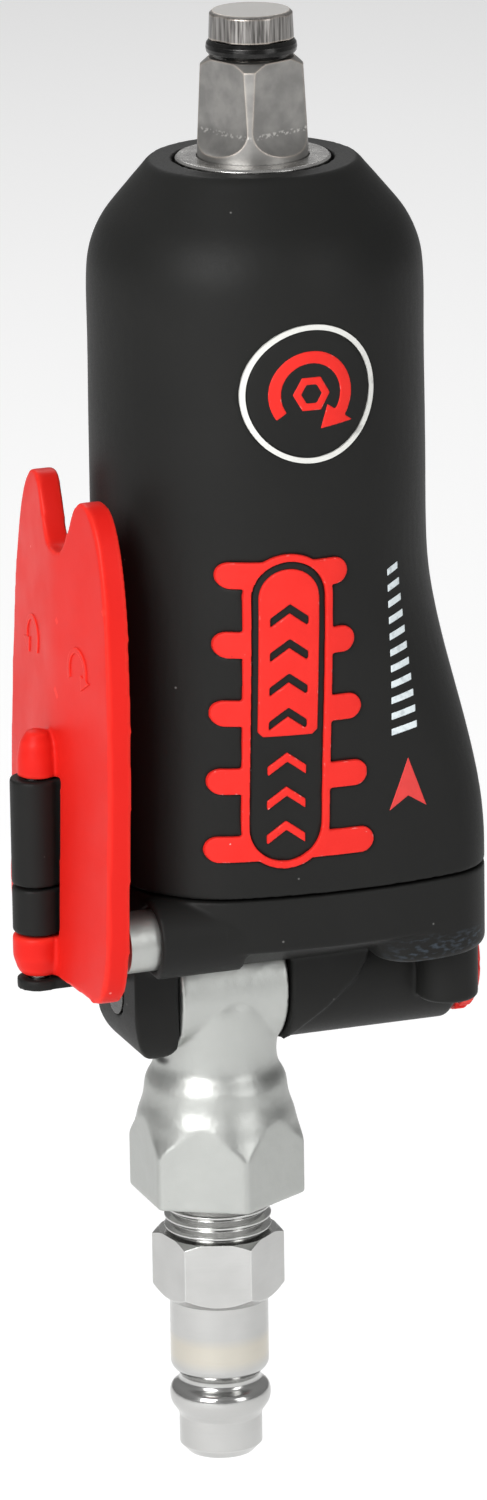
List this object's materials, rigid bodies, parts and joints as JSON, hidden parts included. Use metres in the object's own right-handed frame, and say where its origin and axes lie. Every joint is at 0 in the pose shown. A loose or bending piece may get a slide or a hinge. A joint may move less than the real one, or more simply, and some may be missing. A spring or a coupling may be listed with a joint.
{
  "type": "pneumatic impact wrench",
  "caption": "Compact straight air impact wrench with square drive, rocking throttle paddle, swivel air inlet and power regulator.",
  "frame": {"origin": "on the drive axis, in the face of the steel collar that a socket comes down to", "axes": "+Z along the drive axis, out of the square; -X towards the throttle paddle; +X towards the power regulator"},
  "size_m": [0.0576, 0.0406, 0.1793],
  "materials": {
    "black_composite": "soft-touch matte, fine moulded grain",
    "red_rubber": "soft matte rubber",
    "silver_print": "satin metallic",
    "red_plastic": "satin moulded plastic",
    "black_steel": "blackened",
    "ground_steel": "ground bright",
    "alloy_steel": "machined, oiled",
    "phosphated_steel": "satin, worn at the edges",
    "cast_steel": "sintered and ground",
    "bronze": "sintered bronze",
    "vane_fibre": "phenolic fibre",
    "gasket_paper": "compressed fibre",
    "satin_aluminium": "bead-blasted and clear anodised",
    "spring_steel": "drawn wire",
    "black_rubber": "matt rubber",
    "nickel_steel": "nickel plated, turned"
  },
  "bodies": {
    "tool": {"motor_housing": "black_composite", "rib_inlay": "red_rubber", "badge_ring": "silver_print", "end_cap": "black_composite", "case_screws": "black_steel", "hammer_case": "ground_steel", "anvil_bushing": "bronze", "front_plate": "cast_steel", "cylinder": "cast_steel", "rear_plate": "cast_steel", "cylinder_dowel": "ground_steel", "front_bearing_outer": "ground_steel", "rear_bearing_outer": "ground_steel", "motor_gasket": "gasket_paper", "paddle_pin": "ground_steel", "swivel_spindle": "black_steel", "spindle_o_rings": "black_rubber", "silencer": "gasket_paper", "forward_valve_spring": "spring_steel", "reverse_valve_spring": "spring_steel"},
    "rotor": {"rotor": "alloy_steel", "rotor_vanes": "vane_fibre", "front_bearing_inner": "ground_steel", "rear_bearing_inner": "ground_steel", "hammer_cage": "alloy_steel", "hammer_pins": "ground_steel"},
    "front_hammer": {"front_hammer": "alloy_steel"},
    "rear_hammer": {"rear_hammer": "alloy_steel"},
    "anvil": {"anvil": "phosphated_steel", "friction_ring": "black_steel", "friction_o_ring": "black_rubber"},
    "front_balls": {"front_bearing_balls": "ground_steel", "front_bearing_retainer": "bronze"},
    "rear_balls": {"rear_bearing_balls": "ground_steel", "rear_bearing_retainer": "bronze"},
    "paddle": {"throttle_paddle": "red_plastic"},
    "forward_plunger": {"forward_plunger": "satin_aluminium", "forward_plunger_o_ring": "black_rubber"},
    "reverse_plunger": {"reverse_plunger": "satin_aluminium", "reverse_plunger_o_ring": "black_rubber"},
    "swivel": {"swivel_inlet": "satin_aluminium", "inlet_screen": "ground_steel", "air_nipple": "nickel_steel"},
    "regulator": {"regulator_knob": "red_plastic", "regulator_o_ring": "black_rubber"}
  },
  "joints": [
    {"name": "rotor_spin", "type": "hinge", "parent": "tool", "child": "rotor", "pos_m": [0, 0, -0.062], "axis": [0, 0, 1], "continuous": true},
    {"name": "anvil_spin", "type": "hinge", "parent": "tool", "child": "anvil", "pos_m": [0, 0, -0.006], "axis": [0, 0, 1], "continuous": true},
    {"name": "front_ball_orbit", "type": "hinge", "parent": "tool", "child": "front_balls", "pos_m": [0, 0, -0.0441], "axis": [0, 0, 1], "continuous": true},
    {"name": "rear_ball_orbit", "type": "hinge", "parent": "tool", "child": "rear_balls", "pos_m": [0, 0, -0.0799], "axis": [0, 0, 1], "continuous": true},
    {"name": "front_hammer_rock", "type": "hinge", "parent": "rotor", "child": "front_hammer", "pos_m": [0.0106, 0, -0.0207], "axis": [0, 0, 1], "range_deg": [-4, 4]},
    {"name": "rear_hammer_rock", "type": "hinge", "parent": "rotor", "child": "rear_hammer", "pos_m": [-0.0106, 0, -0.0295], "axis": [0, 0, 1], "range_deg": [-4, 4]},
    {"name": "paddle_rock", "type": "hinge", "parent": "tool", "child": "paddle", "pos_m": [-0.0289, 0, -0.083], "axis": [0, 0, 1], "range_deg": [-8, 8], "stiffness_Nm_per_rad": 0.3},
    {"name": "forward_plunger_slide", "type": "slide", "parent": "tool", "child": "forward_plunger", "axis": [1, 0, 0], "range_m": [-0.0017, 0.0017], "deforming": ["forward_valve_spring"]},
    {"name": "reverse_plunger_slide", "type": "slide", "parent": "tool", "child": "reverse_plunger", "axis": [1, 0, 0], "range_m": [-0.0017, 0.0017], "deforming": ["reverse_valve_spring"]},
    {"name": "inlet_swing", "type": "hinge", "parent": "tool", "child": "swivel", "pos_m": [-0.00655, 0, -0.1015], "axis": [1, 0, 0], "range_deg": [-50, 50]},
    {"name": "regulator_turn", "type": "hinge", "parent": "tool", "child": "regulator", "pos_m": [0.025, 0, -0.1015], "axis": [1, 0, 0], "range_deg": [0, 180]}
  ],
  "couplings": [
    {"joint": "anvil_spin", "follows": "rotor_spin", "ratio": 1},
    {"joint": "front_ball_orbit", "follows": "rotor_spin", "ratio": 0.36},
    {"joint": "rear_ball_orbit", "follows": "rotor_spin", "ratio": 0.36},
    {"joint": "forward_plunger_slide", "follows": "paddle_rock", "m_per_rad": 0.0116},
    {"joint": "reverse_plunger_slide", "follows": "paddle_rock", "m_per_rad": -0.0116}
  ]
}
